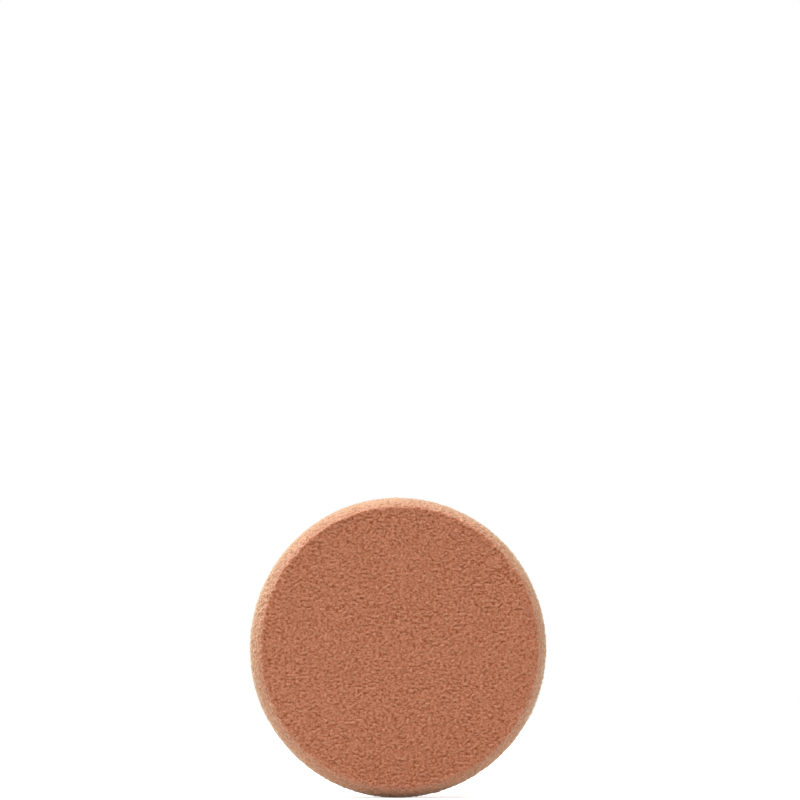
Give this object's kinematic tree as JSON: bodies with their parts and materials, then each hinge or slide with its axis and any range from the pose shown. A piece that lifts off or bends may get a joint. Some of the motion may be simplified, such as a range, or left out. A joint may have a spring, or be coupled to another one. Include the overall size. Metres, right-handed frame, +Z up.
{
  "type": "makeup sponge",
  "caption": "Round foam makeup sponge: a dense open-cell foam disc with flat faces and ground, bevelled rims, used to press and blend foundation.",
  "frame": {"origin": "middle of the small flat on the rim that the disc stands on, at the bottom centre of its bounding box", "axes": "+Z up along a diameter of the disc, +Y along the disc's own axis towards its back face, +X to the right as seen from the front face"},
  "size_m": [0.058, 0.01, 0.0575],
  "materials": {
    "foam": "matte"
  },
  "bodies": {
    "root": {"foam_disc": "foam"}
  },
  "joints": []
}
